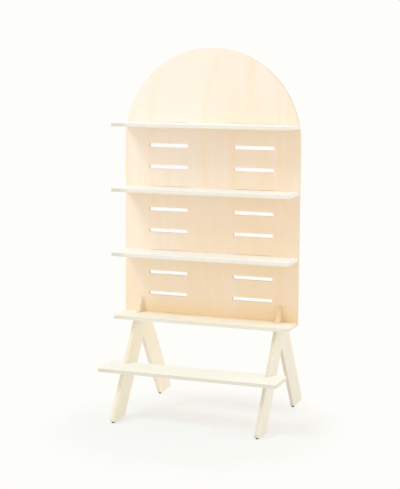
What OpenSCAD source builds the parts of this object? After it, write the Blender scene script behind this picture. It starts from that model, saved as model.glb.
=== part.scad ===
// Knock-down plywood display stand: an arched, slotted back panel straddled by two A-frames, with
// three shelves that plug into the slots, a base shelf and a low step shelf.
// Origin: on the floor, on the centre line, at the panel's middle plane.
// X is across the stand, -Y is the front and +Z is up. Sizes are in millimetres.

/* [Boards] */
// Width of the back panel and of every shelf
stand_w = 750; // [700:10:850]
// Thickness of the plywood that every board is cut from
ply = 15; // [12:1:18]
// Total play across the thickness in a lap that stays together
lap_play = 0.3; // [0.2:0.1:0.6]
// Radius on the outer corners of the boards
corner_r = 5; // [2:1:12]

/* [Back panel] */
// Height of the panel's straight sides, from its lower edge to the arch
panel_side_h = 732; // [660:4:860]

/* [Shelf slots] */
// Distance between the rows of slots
row_pitch = 88; // [76:2:92]
// Number of rows of slots
row_count = 9; // [9:1:10]
// Rows from one display shelf to the next
rows_per_shelf = 3; // [2:1:3]
// Length of a slot
slot_l = 170; // [120:5:180]
// Distance from the outer end of a slot to the middle plane of an A-frame
slot_to_frame = 35; // [30:1:60]
// Radius that the cutter leaves in the corners of a slot
slot_corner_r = 3; // [1.5:0.5:4]
// Total play of a shelf's tab across the thickness in its slot
slot_play = 1; // [0.6:0.2:2]
// Play at each end of a shelf's tab, past the round corners of its slot
tab_end_play = 0.5; // [0.25:0.25:2]
// How far a shelf's tab stands out behind the panel
tab_proud = 12; // [4:1:25]
// Gap where a display shelf lies against the panel and on its slots
seat_gap = 0.1; // [0.05:0.05:0.3]

/* [Shelves] */
// Depth of the display shelves, in front of the panel
shelf_d = 150; // [120:5:200]
// Depth of the base shelf, in front of the panel
base_shelf_d = 130; // [120:5:170]
// Height of the base shelf's top over the floor
base_shelf_z = 408; // [380:2:426]
// Depth of the low shelf
low_shelf_d = 152; // [130:4:200]
// Height of the low shelf's top over the floor
low_shelf_z = 218; // [178:4:250]
// How far the low shelf's back edge reaches into the front legs
low_shelf_overlap = 42; // [30:2:60]

/* [A-frames] */
// Distance from the ends of the shelves to the middle plane of an A-frame
frame_inset = 71; // [40:1:80]
// Height over the base shelf's top at which the outer edges of the legs would meet
apex_rise = 86; // [74:2:100]
// Distance between the outer edges of the front and rear legs, at their feet
foot_spread = 646; // [570:2:700]
// Width of a leg, square to its length
leg_w = 106; // [90:2:116]
// Radius on the outer corner of each foot
foot_outer_r = 10; // [4:1:16]
// Radius on the inner corner of each foot
foot_inner_r = 4; // [2:1:8]
// Radius where the inner edges of the legs meet
crotch_r = 6; // [3:1:12]
// Width of the flat on each tip that rises beside the panel, with its rounding
tip_flat = 8; // [6:0.5:14]
// Radius on the outer corner of each tip
tip_r = 6; // [2:1:10]

/* [Glides] */
// Diameter of a glide
glide_d = 12; // [8:1:14]
// Height of a glide, and so of the feet over the floor
glide_h = 6; // [4:0.5:10]
// Width of the bevel round the lower edge of a glide
glide_bevel = 1; // [0.5:0.25:1.5]
// Distance from the front end of a foot's flat to its glide
glide_inset = 1; // [0:0.5:6]
// Diameter of a nail's shank
nail_d = 2.4; // [1.6:0.2:3]
// Length of a nail in the wood
nail_l = 16; // [8:1:25]
// Diameter of a nail's head
nail_head_d = 5; // [4:0.5:6]
// Thickness of a nail's head
nail_head_h = 1; // [0.6:0.2:1.5]
// Depth of the recess under a glide, in which the nail's head lies
nail_recess = 2.5; // [2:0.25:3]
// Gap round a nail, on each side
nail_gap = 0.05; // [0.02:0.01:0.15]

/* [Hidden] */

$fn = 96;
arch_fn = 240;
small_fn = 48;
eps = 0.01;
reach = 40; // how far a cutter runs past what it cuts

panel_front = -ply / 2;
panel_back = ply / 2;
panel_bottom = base_shelf_z - ply;
arch_r = stand_w / 2;
arch_z = panel_bottom + panel_side_h;

lap_w = ply + lap_play;
frame_x = stand_w / 2 - frame_inset;

slot_h = ply + slot_play;
slot_outer_x = frame_x - slot_to_frame;
slot_inner_x = slot_outer_x - slot_l;
tab_inner_x = slot_inner_x + slot_corner_r + tab_end_play;
tab_outer_x = slot_outer_x - slot_corner_r - tab_end_play;
tab_reach = ply + tab_proud;

foot_z = glide_h;
apex_z = base_shelf_z + apex_rise;
lean = foot_spread / 2 / (apex_z - foot_z); // how far a leg reaches outward for each step down
leg_lean = atan(lean);
crotch_z = apex_z - leg_w / sin(leg_lean);
tip_z = apex_z - (lap_w / 2 + tip_flat) / lean;
halving_z = (panel_bottom + tip_z) / 2;

// Distance of a leg's outer and inner edge from the panel's middle plane, at a height
function outer_y(z) = (apex_z - z) * lean;
function inner_y(z) = (crotch_z - z) * lean;

// Each horizontal lap is shared half and half between the shelf and the frame
base_lap_y = -(outer_y(base_shelf_z) - panel_front) / 2;
low_back_y = -outer_y(low_shelf_z) + low_shelf_overlap;
low_front_y = low_back_y - low_shelf_d;
low_lap_y = low_back_y - low_shelf_overlap / 2;

// A foot's flat starts behind its front corner's rounding
function corner_cut(angle, r) = r / tan(angle / 2);
foot_outer_cut = corner_cut(90 - leg_lean, foot_outer_r);
foot_inner_cut = corner_cut(90 + leg_lean, foot_inner_r);
front_glide_y = -outer_y(foot_z) + foot_outer_cut + glide_inset + glide_d / 2;
rear_glide_y = inner_y(foot_z) + foot_inner_cut + glide_inset + glide_d / 2;
glide_places = [
    [-frame_x, front_glide_y], [frame_x, front_glide_y],
    [-frame_x, rear_glide_y], [frame_x, rear_glide_y]
];

plywood = [0.95, 0.88, 0.76];
shelf_ply = [0.97, 0.93, 0.84];
glide_grey = [0.30, 0.29, 0.28];
nail_steel = [0.70, 0.70, 0.72];

// Height of the middle of a row of slots; row 0 is the base shelf's own level
function row_z(row) = base_shelf_z - ply / 2 + row * row_pitch;

function unit(v) = v / norm(v);
function turn(a, b, c) = (b[0] - a[0]) * (c[1] - b[1]) - (b[1] - a[1]) * (c[0] - b[0]);
function corner_angle(a, b, c) = acos(unit(a - b) * unit(c - b));
function before(points, i) = points[(i + len(points) - 1) % len(points)];
function after(points, i) = points[(i + 1) % len(points)];

// Centre of the arc that rounds corner i of an outline
function round_centre(points, i, r) =
    let (
        a = before(points, i),
        b = points[i],
        c = after(points, i)
    )
    b + unit(unit(a - b) + unit(c - b)) * r / sin(corner_angle(a, b, c) / 2);

// The one or two points that stand for corner i once it is cut back to its arc's ends
function cut_corner(points, i, r) =
    let (
        a = before(points, i),
        b = points[i],
        c = after(points, i),
        cut = r > 0 ? corner_cut(corner_angle(a, b, c), r) : 0
    )
    r > 0 ? [b + unit(a - b) * cut, b + unit(c - b) * cut] : [b];

// Outline with true round corners, hollow ones too. Points run anticlockwise, one radius each
module rounded_outline(points, radii) {
    count = len(points);
    rounded = [for (i = [0:count - 1]) if (radii[i] > 0) i];
    outward = [for (i = rounded) if (turn(before(points, i), points[i], after(points, i)) > 0) i];
    inward = [for (i = rounded) if (turn(before(points, i), points[i], after(points, i)) < 0) i];
    difference() {
        union() {
            polygon([for (i = [0:count - 1]) each cut_corner(points, i, radii[i])]);
            for (i = outward) translate(round_centre(points, i, radii[i])) circle(r = radii[i]);
        }
        for (i = inward) translate(round_centre(points, i, radii[i])) circle(r = radii[i]);
    }
}

// Rectangle between two corners, with round corners of one radius
module rounded_box_2d(low, high, r) {
    rounded_outline([low, [high[0], low[1]], high, [low[0], high[1]]], [r, r, r, r], $fn = small_fn);
}

// Board lying flat, whose top is at z
module level_board(z) {
    translate([0, 0, z - ply]) linear_extrude(ply) children();
}

// Board standing across the stand; its outline is drawn in X and Z
module cross_board() {
    translate([0, panel_back, 0]) rotate([90, 0, 0]) linear_extrude(ply) children();
}

// Board standing front to back, centred at x; its outline is drawn in Y and Z
module side_board(x) {
    translate([x - ply / 2, 0, 0]) rotate([90, 0, 90]) linear_extrude(ply) children();
}

// Draws its children on the right and mirrored on the left
module both_sides() {
    children();
    mirror([1, 0]) children();
}

module back_panel() {
    color(plywood) cross_board() difference() {
        union() {
            translate([0, arch_z]) circle(r = arch_r, $fn = arch_fn);
            rounded_outline(
                [[-arch_r, panel_bottom], [arch_r, panel_bottom], [arch_r, arch_z], [-arch_r, arch_z]],
                [corner_r, corner_r, 0, 0]
            );
        }
        for (row = [1:row_count]) both_sides() shelf_slot(row_z(row));
        both_sides() base_tab_notch();
        both_sides() frame_notch();
    }
}

// Slot that takes a display shelf's tab
module shelf_slot(z) {
    rounded_box_2d(
        [slot_inner_x, z - slot_h / 2], [slot_outer_x, z + slot_h / 2], slot_corner_r
    );
}

// Notch in the panel's lower edge, over a tab of the base shelf
module base_tab_notch() {
    translate([slot_inner_x, panel_bottom - reach]) square([slot_l, reach + ply + lap_play]);
}

// Notch in the panel's lower edge, astride an A-frame
module frame_notch() {
    translate([frame_x - lap_w / 2, panel_bottom - reach]) {
        square([lap_w, reach + halving_z - panel_bottom]);
    }
}

// Plan of a shelf from its front edge to its back edge, both given as Y
module shelf_plan(front_y, back_y) {
    rounded_box_2d([-stand_w / 2, front_y], [stand_w / 2, back_y], corner_r);
}

// Plan of a tab that reaches back from an edge
module tab_plan(back_y, tab_back_y) {
    rounded_outline(
        [
            [tab_inner_x, back_y - reach], [tab_outer_x, back_y - reach],
            [tab_outer_x, tab_back_y], [tab_inner_x, tab_back_y]
        ],
        [0, 0, slot_corner_r, slot_corner_r],
        $fn = small_fn
    );
}

// Notch that opens at a shelf's back edge, astride an A-frame
module shelf_notch(lap_y, back_y) {
    translate([frame_x - lap_w / 2, lap_y]) square([lap_w, back_y - lap_y + eps]);
}

// Display shelf plugged into the given row of slots
module display_shelf(row) {
    underside = row_z(row) - slot_h / 2 + seat_gap;
    back_y = panel_front - seat_gap;
    color(shelf_ply) level_board(underside + ply) {
        shelf_plan(back_y - shelf_d, back_y);
        both_sides() tab_plan(back_y, back_y + seat_gap + tab_reach);
    }
}

module top_shelf() { display_shelf(3 * rows_per_shelf); }
module middle_shelf() { display_shelf(2 * rows_per_shelf); }
module bottom_shelf() { display_shelf(rows_per_shelf); }

module base_shelf() {
    color(shelf_ply) level_board(base_shelf_z) difference() {
        union() {
            shelf_plan(panel_front - base_shelf_d, panel_front);
            both_sides() tab_plan(panel_front, panel_back);
        }
        both_sides() shelf_notch(base_lap_y, panel_front);
    }
}

module low_shelf() {
    color(shelf_ply) level_board(low_shelf_z) difference() {
        shelf_plan(low_front_y, low_back_y);
        both_sides() shelf_notch(low_lap_y, low_back_y);
    }
}

// Outline of an A-frame, before its laps are cut
module a_frame_outline() {
    top_y = outer_y(tip_z);
    outer = outer_y(foot_z);
    inner = inner_y(foot_z);
    rounded_outline(
        [
            [-outer, foot_z], [-inner, foot_z], [0, crotch_z], [inner, foot_z],
            [outer, foot_z], [top_y, tip_z], [-top_y, tip_z]
        ],
        [foot_outer_r, foot_inner_r, crotch_r, foot_inner_r, foot_outer_r, tip_r, tip_r]
    );
}

// Notch in a front leg's edge that takes a shelf, from its lap to the front
module leg_notch(shelf_z, lap_y) {
    translate([-outer_y(foot_z) - reach, shelf_z - ply]) {
        square([outer_y(foot_z) + reach + lap_y, ply + lap_play]);
    }
}

module a_frame(x) {
    color(plywood) difference() {
        side_board(x) difference() {
            a_frame_outline();
            translate([-lap_w / 2, halving_z]) square([lap_w, tip_z - halving_z + reach]);
            leg_notch(base_shelf_z, base_lap_y);
            leg_notch(low_shelf_z, low_lap_y);
        }
        for (y = [front_glide_y, rear_glide_y]) {
            translate([x, y, foot_z - eps]) {
                cylinder(d = nail_d + 2 * nail_gap, h = nail_l + nail_gap + eps, $fn = small_fn);
            }
        }
    }
}

module left_a_frame() { a_frame(-frame_x); }
module right_a_frame() { a_frame(frame_x); }

// Glide with a bevelled lower edge, bored and recessed for its nail
module glide(place) {
    r = glide_d / 2;
    bore_r = nail_d / 2 + nail_gap;
    recess_r = nail_head_d / 2 + nail_gap;
    color(glide_grey) translate([place[0], place[1], 0]) rotate_extrude($fn = small_fn) polygon([
        [recess_r, 0], [r - glide_bevel, 0], [r, glide_bevel], [r, glide_h],
        [bore_r, glide_h], [bore_r, nail_recess], [recess_r, nail_recess]
    ]);
}

module front_left_glide() { glide(glide_places[0]); }
module front_right_glide() { glide(glide_places[1]); }
module rear_left_glide() { glide(glide_places[2]); }
module rear_right_glide() { glide(glide_places[3]); }

// The four nails that hold the glides
module glide_nails() {
    head_z = nail_recess - nail_head_h;
    color(nail_steel) for (place = glide_places) translate([place[0], place[1], head_z]) {
        rotate_extrude($fn = small_fn) polygon([
            [0, 0], [nail_head_d / 2, 0], [nail_head_d / 2, nail_head_h],
            [nail_d / 2, nail_head_h], [nail_d / 2, glide_h - head_z + nail_l - nail_d / 2],
            [0, glide_h - head_z + nail_l]
        ]);
    }
}

back_panel();
top_shelf();
middle_shelf();
bottom_shelf();
base_shelf();
low_shelf();
left_a_frame();
right_a_frame();
front_left_glide();
front_right_glide();
rear_left_glide();
rear_right_glide();
glide_nails();
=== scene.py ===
"""Looks of a knock-down plywood display stand: veneered boards with open ply edges, on a pale floor."""
import math
import bpy
from mathutils import Matrix, Vector


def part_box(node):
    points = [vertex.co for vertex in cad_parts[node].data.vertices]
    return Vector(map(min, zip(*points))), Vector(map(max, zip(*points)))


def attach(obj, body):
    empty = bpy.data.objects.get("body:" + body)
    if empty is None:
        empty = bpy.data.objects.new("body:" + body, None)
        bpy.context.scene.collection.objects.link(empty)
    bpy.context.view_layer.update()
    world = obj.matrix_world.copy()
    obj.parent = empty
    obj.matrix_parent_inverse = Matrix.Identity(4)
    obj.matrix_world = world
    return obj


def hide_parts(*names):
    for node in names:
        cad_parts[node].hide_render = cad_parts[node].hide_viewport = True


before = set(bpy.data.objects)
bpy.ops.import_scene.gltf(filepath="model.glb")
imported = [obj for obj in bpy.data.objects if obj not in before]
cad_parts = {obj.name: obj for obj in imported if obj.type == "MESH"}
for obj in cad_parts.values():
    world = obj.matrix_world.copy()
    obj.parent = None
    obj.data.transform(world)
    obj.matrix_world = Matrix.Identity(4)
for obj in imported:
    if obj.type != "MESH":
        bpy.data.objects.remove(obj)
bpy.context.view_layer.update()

# Camera, fitted to the edges of the boards in the photograph
CAMERA_PLACE = (1.7065, -4.7776, 1.4078)
CAMERA_YAW = math.radians(20.144)
CAMERA_PITCH = math.radians(7.895)
CAMERA_ROLL = math.radians(0.424)
PHOTO_HEIGHT = 489
FOCAL_PIXELS = 1250.6
SENSOR_SIZE = 36.0

# Boards: their edges are sanded round by EASE
PLY_COUNT = 11
EASE = 0.0008
EASE_STEPS = 3
MERGE_DISTANCE = 1e-6
FLAT_ANGLE = math.radians(0.3)
SHARP_ANGLE = math.radians(30)
SMOOTH_ANGLE = math.radians(50)

# Which way each board's grain runs: along the grain, across it and through the board
GRAIN_UP = ("Z", "X", "Y")
GRAIN_ALONG = ("X", "Y", "Z")
GRAIN_UP_SIDE = ("Z", "Y", "X")

# Kinds of board. The tones, linear, are pale wood, tan wood and the end grain of the crossed plies. The
# drifts are how much tanner the board gets for each metre towards the low end of an axis: the veneer
# along and across its grain, and the crossed plies along it. On the panel and the frames the drifts are
# painted shade: the panel gets tanner towards its bottom and its right, the frames towards their tops.
# The low-end darkening is how much darker the edges get near the low end. The corner shade is painted
# shade, a yellower tone round the corner of the panel and the base shelf: the places where it begins and
# is full, along the grain and across it, and how much there is. Under is how much of that tone the veneer
# on a board's underside has: painted shade, a yellower underside that warms the shade under the shelves.
KINDS = {
    "panel": {
        "axes": GRAIN_UP,
        "tones": ((0.985, 0.866, 0.755, 1), (0.980, 0.762, 0.510, 1), (0.620, 0.590, 0.500, 1)),
        "drifts": (0.4, -0.50, 0.0), "low_end_dark": 0.0,
        "corner_shade": ((0.485, 0.410), (-0.320, -0.250), 0.55), "under": 0.0},
    # The shelves' tones are whiter than the other boards': painted light, for their tops lit from above
    "shelf": {
        "axes": GRAIN_ALONG,
        "tones": ((0.982, 0.980, 0.965, 1), (0.973, 0.955, 0.910, 1), (0.820, 0.720, 0.560, 1)),
        "drifts": (0.0, 0.0, 0.3), "low_end_dark": 0.32, "corner_shade": None, "under": 0.45},
    "base": {
        "axes": GRAIN_ALONG,
        "tones": ((0.985, 0.972, 0.893, 1), (0.965, 0.905, 0.765, 1), (0.630, 0.610, 0.540, 1)),
        "drifts": (0.0, 0.0, 0.2), "low_end_dark": 0.14,
        "corner_shade": ((-0.340, -0.260), (-0.055, -0.008), 0.40), "under": 0.0},
    "low": {
        "axes": GRAIN_ALONG,
        "tones": ((0.980, 0.963, 0.905, 1), (0.945, 0.895, 0.790, 1), (0.485, 0.460, 0.325, 1)),
        "drifts": (0.0, 0.0, 0.1), "low_end_dark": 0.14, "corner_shade": None, "under": 0.0},
    "left_frame": {
        "axes": GRAIN_UP_SIDE,
        "tones": ((0.990, 0.930, 0.790, 1), (0.960, 0.860, 0.680, 1), (0.900, 0.780, 0.580, 1)),
        "drifts": (-1.0, 0.0, -1.0), "low_end_dark": 0.0,
        "corner_shade": ((0.390, 0.450), (0.040, 0.0), 0.20), "under": 0.0},
    "right_frame": {
        "axes": GRAIN_UP_SIDE,
        "tones": ((0.895, 0.860, 0.775, 1), (0.830, 0.760, 0.625, 1), (0.850, 0.720, 0.530, 1)),
        "drifts": (-1.0, 0.0, -1.0), "low_end_dark": 0.0,
        "corner_shade": ((0.390, 0.430), (0.040, 0.0), 0.50), "under": 0.0},
}
# Painted shade: the yellow of the wood round the corner of the panel and the base shelf, and of the
# shelves' undersides
PAINTED_SHADE_YELLOW = (0.920, 0.660, 0.340, 1)
GLUE_LINE = (0.480, 0.340, 0.210, 1)
GLUE_SHARE = 0.75
LOW_END_DARK_STARTS = 0.080
LOW_END_DARK_FULL = 0.030

# Figure of the veneer. A noise is given as its features for each metre along the grain, those across it
# and a number that sets it apart from the others.
WARP = (2.0, 5.0, 0.0)
WARP_WIDTH = 0.030
CONTOURS = (0.85, 4.2, 7.3)
RINGS_PER_CONTOUR = 15.0
FIRST_RING = 20.0
LATEWOOD_SHARPNESS = 3.0
BANDS = (0.8, 26.0, 3.1)
BLOTCHES = (2.4, 4.5, 11.9)
FIBRES_ALONG = 16.0
FIBRES_ACROSS = 430.0
PORES = (120.0, 1100.0, 5.5)
PORE_DEPTHS = (0.16, 0.30)
# Ragged border of the painted corner shade
CORNER_SHADE_EDGE = (9.0, 9.0, 2.7)
CORNER_SHADE_EDGE_WIDTH = 0.03

# How tan plain veneer is, and how much tanner each part of the figure makes it
PLAIN_TAN = 0.24
LATEWOOD_TAN = 0.24
BAND_TAN = 0.60
BLOTCH_TAN = 0.60
FIBRE_TAN = 0.55
PORE_TAN = 0.45

# Plies on the edges. SKIN is a share of the board's thickness, and GLUE_WIDTHS, from where a glue line
# begins to fade to where it ends, are shares of a ply.
SKIN = 0.002
GLUE_WIDTHS = (0.035, 0.10)
END_SPECKS = (900.0, 900.0, 1300.0)
PLY_CHANGE = 3.7
PLY_PATCHES = 3.0
PLAIN_END = 0.55
SPECK_SHARE = 0.9
PLY_SHARE = 0.5

# Feel of the wood: its roughness, and how far the pores, the end grain and the glue lie below the fibres
WOOD_ROUGHNESS = 0.56
FIBRE_ROUGHNESS = 0.10
END_ROUGHNESS = 0.12
PORE_SINK = 0.5
END_SINK = 0.25
GLUE_SINK = 0.4
WOOD_BUMP = (0.00025, 0.35)

# Glides and nails
PLASTIC_DARK = (0.160, 0.148, 0.132, 1)
PLASTIC_SCUFFED = (0.300, 0.280, 0.250, 1)
MOULD_GRAIN = (1500.0, 1500.0, 1500.0)
SCUFFS = (260.0, 90.0, 400.0)
SCUFF_HEIGHTS = (0.0005, 0.0022)
LOW_SCUFF = 0.25
SCUFF_RANGE = (0.05, 0.45)
PLASTIC_ROUGHNESS = 0.42
GRAIN_ROUGHNESS = 0.12
SCUFF_ROUGHNESS = 0.20
PLASTIC_BUMP = (0.00008, 0.3)
STEEL_DULL = (0.52, 0.52, 0.53, 1)
STEEL_BRIGHT = (0.70, 0.69, 0.67, 1)
DRAWN_LINES = (2500.0, 2500.0, 120.0)
STEEL_ROUGHNESS = 0.34
DRAWN_ROUGHNESS = 0.2

# Floor and lights. The room's light is AMBIENT at the horizon, and less by CEILING_DIMMER overhead.
BACKGROUND = (0.990, 0.984, 0.955, 1)
FLOOR_COLOUR = (0.880, 0.905, 0.900, 1)
FLOOR_SIZE = 60.0
FADE_CENTRE = (0.02, -0.25)
FLOOR_FADE = (0.22, 0.64)
FLOOR_GLOW = 0.50
AMBIENT = 1.015
CEILING_DIMMER = 0.24
ROOM_COLOUR = (1.0, 0.936, 0.868, 1)
LAMP_AIM = Vector((0.0, -0.05, 0.95))
KEY_DIRECTION = Vector((-0.70, -0.68, 1.0))
KEY_DISTANCE = 5.0
KEY_SIZE = 1.7
KEY_POWER = 84.0
KEY_COLOUR = (0.66, 0.90, 1.0)
SIDE_DIRECTION = Vector((1.0, 0.35, 0.3))
SIDE_DISTANCE = 3.2
SIDE_SIZE = 2.4
SIDE_POWER = 17.0
SIDE_COLOUR = (1.0, 0.95, 0.90)


class Value:
    """A socket of a material's nodes. Arithmetic on it adds Math nodes."""

    def __init__(self, shader, socket):
        self.shader = shader
        self.socket = socket

    def __add__(self, other):
        return self.shader.math("ADD", self, other)

    def __sub__(self, other):
        return self.shader.math("SUBTRACT", self, other)

    def __rsub__(self, other):
        return self.shader.math("SUBTRACT", other, self)

    def __mul__(self, other):
        return self.shader.math("MULTIPLY", self, other)

    def __truediv__(self, other):
        return self.shader.math("DIVIDE", self, other)

    __radd__ = __add__
    __rmul__ = __mul__


class Shader:
    """The nodes of one material or of the world."""

    def __init__(self, owner):
        owner.use_nodes = True
        self.owner = owner
        self.tree = owner.node_tree
        self.tree.nodes.clear()

    def node(self, kind, settings=None, inputs=None, output=0):
        """Adds a node: its settings first, then what its sockets take. Gives one of its outputs."""
        made = self.tree.nodes.new(kind)
        for key, setting in (settings or {}).items():
            setattr(made, key, setting)
        for key, given in (inputs or {}).items():
            if isinstance(given, Value):
                self.tree.links.new(given.socket, made.inputs[key])
            else:
                made.inputs[key].default_value = given
        return Value(self, made.outputs[output]) if made.outputs else None

    def math(self, operation, *terms):
        return self.node("ShaderNodeMath", {"operation": operation}, dict(enumerate(terms)))

    def vector(self, x, y, z):
        return self.node("ShaderNodeCombineXYZ", {}, {"X": x, "Y": y, "Z": z})

    def scaled(self, parts, scales):
        """A vector of three parts, each times its own scale."""
        return self.vector(*(part * scale for part, scale in zip(parts, scales)))

    def on_grain(self, along, across, figure, seed):
        """A vector with the scales of a noise of the veneer's figure."""
        along_scale, across_scale, apart = figure
        return self.vector(along * along_scale, across * across_scale, seed + apart)

    def noise(self, place, detail=2.0, roughness=0.5):
        """Soft noise round 0, from about -0.5 to 0.5."""
        made = self.node("ShaderNodeTexNoise", {}, {
            "Vector": place, "Scale": 1.0, "Detail": detail, "Roughness": roughness})
        return made - 0.5

    def between(self, value, low, high):
        """0 before low, 1 past high and a straight change between them. High may be the lesser number."""
        return self.node("ShaderNodeMapRange", {}, {"Value": value, "From Min": low, "From Max": high})

    def mix(self, factor, first, second):
        settings = {"data_type": "RGBA"}
        return self.node("ShaderNodeMix", settings, {"Factor": factor, 6: first, 7: second}, output=2)

    def bump(self, height, distance, strength):
        inputs = {"Height": height, "Distance": distance, "Strength": strength}
        return self.node("ShaderNodeBump", {}, inputs)

    def surface(self, colour, roughness, normal=None, metallic=0.0):
        inputs = {"Base Color": colour, "Roughness": roughness, "Metallic": metallic}
        if normal:
            inputs["Normal"] = normal
        return self.node("ShaderNodeBsdfPrincipled", {}, inputs)

    def finish(self, surface, kind="ShaderNodeOutputMaterial"):
        self.node(kind, {}, {"Surface": surface})
        return self.owner

    def object_place(self):
        """The three Object coordinates, by the name of their axis."""
        place = self.node("ShaderNodeTexCoord", {}, {}, "Object")
        return {axis: self.node("ShaderNodeSeparateXYZ", {}, {"Vector": place}, axis) for axis in "XYZ"}

    def seen_directly(self):
        """1 for what the camera sees, straight, in a mirror or through glass."""
        seen = None
        for ray in ("Is Camera Ray", "Is Glossy Ray", "Is Transmission Ray"):
            passed = self.node("ShaderNodeLightPath", {}, {}, ray)
            seen = passed if seen is None else self.math("MAXIMUM", seen, passed)
        return seen


def new_shader(name):
    return Shader(bpy.data.materials.new(name))


def veneer_figure(shader, along, across, through, seed):
    """Rotary-cut birch: how tan the wood is, and the height of its fibres."""
    warp = shader.noise(shader.on_grain(along, across, WARP, seed))
    bent = across + warp * WARP_WIDTH
    contour = shader.noise(shader.on_grain(along, bent, CONTOURS, seed), detail=1.0)
    rings = shader.math("PINGPONG", contour * RINGS_PER_CONTOUR + FIRST_RING, 1.0)
    latewood = shader.math("POWER", rings, LATEWOOD_SHARPNESS)
    bands = shader.noise(shader.on_grain(along, bent, BANDS, seed), detail=3.0, roughness=0.6)
    blotch = shader.noise(shader.on_grain(along, across, BLOTCHES, seed), detail=1.0)
    fibres = shader.vector(along * FIBRES_ALONG, bent * FIBRES_ACROSS, through * FIBRES_ACROSS + seed)
    fibre = shader.noise(fibres, roughness=0.6)
    pores = shader.noise(shader.on_grain(along, across, PORES, seed), detail=1.0)
    fleck = shader.between(pores, *PORE_DEPTHS)
    tan = PLAIN_TAN + latewood * LATEWOOD_TAN + bands * BAND_TAN + blotch * BLOTCH_TAN
    tan = tan + fibre * FIBRE_TAN + fleck * PORE_TAN
    return tan, fibre - fleck * PORE_SINK


def ply_layers(shader, through, middle, thickness):
    """How many plies deep a place is, and masks of the crossed plies, of the inside and of its glue.

    The depth is counted from the nearer face. The inside begins halfway through the face veneer.
    """
    depth = 0.5 - shader.math("ABSOLUTE", (through - middle) / thickness)
    plies = shader.math("MAXIMUM", depth, SKIN) * PLY_COUNT
    crossed = shader.math("GREATER_THAN", shader.math("FRACT", plies * 0.5), 0.5)
    seam = shader.math("ABSOLUTE", shader.math("FRACT", plies + 0.5) - 0.5)
    inside = shader.math("GREATER_THAN", plies, 0.5)
    glue = (1.0 - shader.between(seam, *GLUE_WIDTHS)) * inside
    return plies, crossed, inside, glue


def corner_shade_mask(shader, along, across, seed, along_range, across_range):
    """1 in the corner where shade is painted, with a ragged border."""
    ragged = shader.noise(shader.on_grain(along, across, CORNER_SHADE_EDGE, seed)) * CORNER_SHADE_EDGE_WIDTH
    return shader.between(along + ragged, *along_range) * shader.between(across + ragged, *across_range)


def plywood(name, box, seed, axes, tones, drifts, low_end_dark, corner_shade, under):
    """Birch plywood: veneer on the faces, and plies crossing each other on the edges."""
    pale, tan_tone, end_tone = tones
    along_drift, across_drift, edge_drift = drifts
    shader = new_shader(name)
    place = shader.object_place()
    along, across, through = (place[axis] for axis in axes)
    lows, highs = ([corner["XYZ".index(axis)] for axis in axes] for corner in box)
    along_middle, across_middle, through_middle = ((low + high) / 2 for low, high in zip(lows, highs))
    length = highs[0] - lows[0]
    thickness = highs[2] - lows[2]
    towards_low = along_middle - along
    plies, crossed, inside, glue = ply_layers(shader, through, through_middle, thickness)

    tan, fibre = veneer_figure(shader, along, across, through, seed)
    # On the panel and the frames, the drifts paint shade into the veneer's tone
    tan = tan + towards_low * along_drift + (across_middle - across) * across_drift
    specks = shader.noise(shader.scaled((along, across, through), END_SPECKS), roughness=0.6)
    ply_tone = shader.noise(shader.vector(plies * PLY_CHANGE, seed, along * PLY_PATCHES), detail=1.0)
    end_share = PLAIN_END + specks * SPECK_SHARE + ply_tone * PLY_SHARE + towards_low * edge_drift
    veneer = shader.mix(tan, pale, tan_tone)
    end_wood = shader.mix(end_share, tan_tone, end_tone)
    colour = shader.mix(crossed, veneer, end_wood)
    # Painted shade: yellower wood round the corner of the panel and the base shelf
    if corner_shade:
        along_range, across_range, share = corner_shade
        corner = corner_shade_mask(shader, along, across, seed, along_range, across_range)
        colour = shader.mix(corner * share, colour, PAINTED_SHADE_YELLOW)
    # Painted shade: a yellower underside veneer, to warm the shade under the shelves
    if under:
        lower_half = shader.math("LESS_THAN", through, through_middle)
        lower_veneer = lower_half * shader.math("LESS_THAN", plies, 1.0)
        colour = shader.mix(lower_veneer * under, colour, PAINTED_SHADE_YELLOW)
    # The edges get darker near the low end of the grain
    low_end = shader.between(towards_low, length / 2 - LOW_END_DARK_STARTS, length / 2 - LOW_END_DARK_FULL)
    marked = low_end * inside * low_end_dark
    colour = shader.mix(shader.math("MAXIMUM", glue * GLUE_SHARE, marked), colour, GLUE_LINE)

    roughness = WOOD_ROUGHNESS + fibre * FIBRE_ROUGHNESS + crossed * END_ROUGHNESS
    height = fibre + crossed * (specks - END_SINK) - glue * GLUE_SINK
    return shader.finish(shader.surface(colour, roughness, shader.bump(height, *WOOD_BUMP)))


def moulded_plastic(name):
    """Dark glides with a fine moulded grain, scuffed paler where they slide."""
    shader = new_shader(name)
    place = shader.object_place()
    grain = shader.noise(shader.scaled(place.values(), MOULD_GRAIN))
    scuff = shader.noise(shader.scaled(place.values(), SCUFFS), detail=3.0)
    low_down = 1.0 - shader.between(place["Z"], *SCUFF_HEIGHTS)
    marked = shader.between(scuff + low_down * LOW_SCUFF, *SCUFF_RANGE)
    colour = shader.mix(marked, PLASTIC_DARK, PLASTIC_SCUFFED)
    roughness = PLASTIC_ROUGHNESS + grain * GRAIN_ROUGHNESS + marked * SCUFF_ROUGHNESS
    return shader.finish(shader.surface(colour, roughness, shader.bump(grain, *PLASTIC_BUMP)))


def bright_steel(name):
    """Wire nails: drawn shanks and a pressed head."""
    shader = new_shader(name)
    place = shader.object_place()
    drawn = shader.noise(shader.scaled(place.values(), DRAWN_LINES))
    colour = shader.mix(0.5 + drawn, STEEL_DULL, STEEL_BRIGHT)
    return shader.finish(shader.surface(colour, STEEL_ROUGHNESS + drawn * DRAWN_ROUGHNESS, metallic=1.0))


def deselect_all():
    bpy.ops.object.select_all(action="DESELECT")


def activate(piece):
    deselect_all()
    piece.select_set(True)
    bpy.context.view_layer.objects.active = piece


def apply_modifier(piece, kind, **settings):
    modifier = piece.modifiers.new(kind.title(), kind)
    for key, setting in settings.items():
        setattr(modifier, key, setting)
    bpy.ops.object.modifier_apply(modifier=modifier.name)


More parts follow.
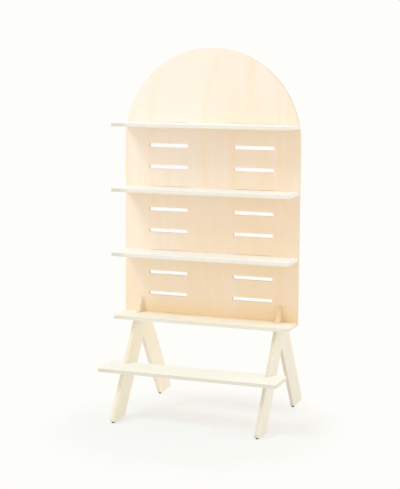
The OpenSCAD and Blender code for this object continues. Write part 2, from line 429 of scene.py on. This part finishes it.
def eased_board(node):
    """A copy of a CAD board, merged, with every sharp edge sanded round."""
    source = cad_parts[node]
    piece = bpy.data.objects.new(node + "_board", source.data.copy())
    bpy.context.scene.collection.objects.link(piece)
    activate(piece)
    bpy.ops.object.mode_set(mode="EDIT")
    bpy.ops.mesh.select_all(action="SELECT")
    bpy.ops.mesh.remove_doubles(threshold=MERGE_DISTANCE)
    bpy.ops.mesh.dissolve_limited(angle_limit=FLAT_ANGLE)
    bpy.ops.object.mode_set(mode="OBJECT")
    apply_modifier(piece, "BEVEL", width=EASE, segments=EASE_STEPS, limit_method="ANGLE",
                   angle_limit=SHARP_ANGLE, use_clamp_overlap=True)
    bpy.ops.object.shade_smooth_by_angle(angle=SMOOTH_ANGLE)
    apply_modifier(piece, "WEIGHTED_NORMAL", keep_sharp=True, weight=100)
    return piece


def dress(piece, material):
    piece.data.materials.clear()
    piece.data.materials.append(material)


def add_camera():
    """The camera stands to the right of the stand, a little below its top."""
    data = bpy.data.cameras.new("camera")
    data.sensor_width = SENSOR_SIZE
    data.lens = FOCAL_PIXELS * SENSOR_SIZE / PHOTO_HEIGHT
    camera = bpy.data.objects.new("camera", data)
    turn = Matrix.Rotation(CAMERA_YAW, 4, "Z")
    tilt = Matrix.Rotation(math.pi / 2 - CAMERA_PITCH, 4, "X")
    roll = Matrix.Rotation(CAMERA_ROLL, 4, "Z")
    camera.matrix_world = Matrix.Translation(CAMERA_PLACE) @ turn @ tilt @ roll
    bpy.context.scene.collection.objects.link(camera)
    bpy.context.scene.camera = camera


def add_floor():
    """A pale floor that keeps the shadow under the stand and fades into the background."""
    deselect_all()
    bpy.ops.mesh.primitive_plane_add(size=FLOOR_SIZE, location=(0, 0, 0))
    floor = bpy.context.object
    floor.name = "floor"
    shader = new_shader("studio_floor")
    place = shader.object_place()
    right = place["X"] - FADE_CENTRE[0]
    back = place["Y"] - FADE_CENTRE[1]
    radius = shader.math("SQRT", right * right + back * back)
    far = shader.between(radius, *FLOOR_FADE)
    glow = shader.math("MAXIMUM", far, FLOOR_GLOW) * shader.seen_directly()
    matt = shader.node("ShaderNodeBsdfDiffuse", {}, {"Color": FLOOR_COLOUR})
    bright = shader.node("ShaderNodeEmission", {}, {"Color": BACKGROUND, "Strength": 1.0})
    shader.finish(shader.node("ShaderNodeMixShader", {}, {0: glow, 1: matt, 2: bright}))
    dress(floor, shader.owner)


def add_lamp(name, direction, distance, size, power, colour):
    """A square soft lamp that faces the stand from a direction."""
    data = bpy.data.lights.new(name, "AREA")
    data.shape = "SQUARE"
    data.size = size
    data.energy = power
    data.color = colour
    lamp = bpy.data.objects.new(name, data)
    towards = direction.normalized()
    lamp.location = LAMP_AIM + towards * distance
    lamp.rotation_euler = towards.to_track_quat("Z", "Y").to_euler()
    bpy.context.scene.collection.objects.link(lamp)


def add_lights():
    """A pale room that dims towards its ceiling, and two soft lamps.

    The key is at the upper left front. The side lamp is weaker, on the right and a little behind.
    """
    shader = Shader(bpy.data.worlds.new("studio"))
    seen = shader.seen_directly()
    direction = shader.node("ShaderNodeTexCoord", {}, {}, "Generated")
    upwards = shader.node("ShaderNodeSeparateXYZ", {}, {"Vector": direction}, "Z")
    level = AMBIENT - upwards * CEILING_DIMMER
    room = shader.node("ShaderNodeBackground", {}, {"Color": ROOM_COLOUR, "Strength": level})
    backdrop = shader.node("ShaderNodeBackground", {}, {"Color": BACKGROUND, "Strength": 1.0})
    mixed = shader.node("ShaderNodeMixShader", {}, {0: seen, 1: room, 2: backdrop})
    bpy.context.scene.world = shader.finish(mixed, "ShaderNodeOutputWorld")
    add_lamp("key", KEY_DIRECTION, KEY_DISTANCE, KEY_SIZE, KEY_POWER, KEY_COLOUR)
    add_lamp("side", SIDE_DIRECTION, SIDE_DISTANCE, SIDE_SIZE, SIDE_POWER, SIDE_COLOUR)


# Each board's node, the body it rides on, its material slot and its kind
BOARDS = [
    ("back_panel", "frame", "panel_plywood", "panel"),
    ("top_shelf", "top_shelf", "shelf_plywood", "shelf"),
    ("middle_shelf", "middle_shelf", "shelf_plywood", "shelf"),
    ("bottom_shelf", "bottom_shelf", "shelf_plywood", "shelf"),
    ("base_shelf", "frame", "shelf_plywood", "base"),
    ("low_shelf", "frame", "shelf_plywood", "low"),
    ("left_a_frame", "frame", "frame_plywood", "left_frame"),
    ("right_a_frame", "frame", "frame_plywood", "right_frame"),
]
GLIDES = ("front_left_glide", "front_right_glide", "rear_left_glide", "rear_right_glide")
SEED_STEP = 4.37

for number, (node, body, slot, kind) in enumerate(BOARDS):
    board = eased_board(node)
    dress(board, plywood("plywood_" + node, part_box(node), number * SEED_STEP, **KINDS[kind]))
    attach(board, body)
    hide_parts(node)

glide_plastic = moulded_plastic("glide_plastic")
for node in GLIDES:
    dress(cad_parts[node], glide_plastic)
dress(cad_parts["glide_nails"], bright_steel("nail_steel"))

add_camera()
add_floor()
add_lights()
bpy.context.scene.view_settings.view_transform = "Standard"
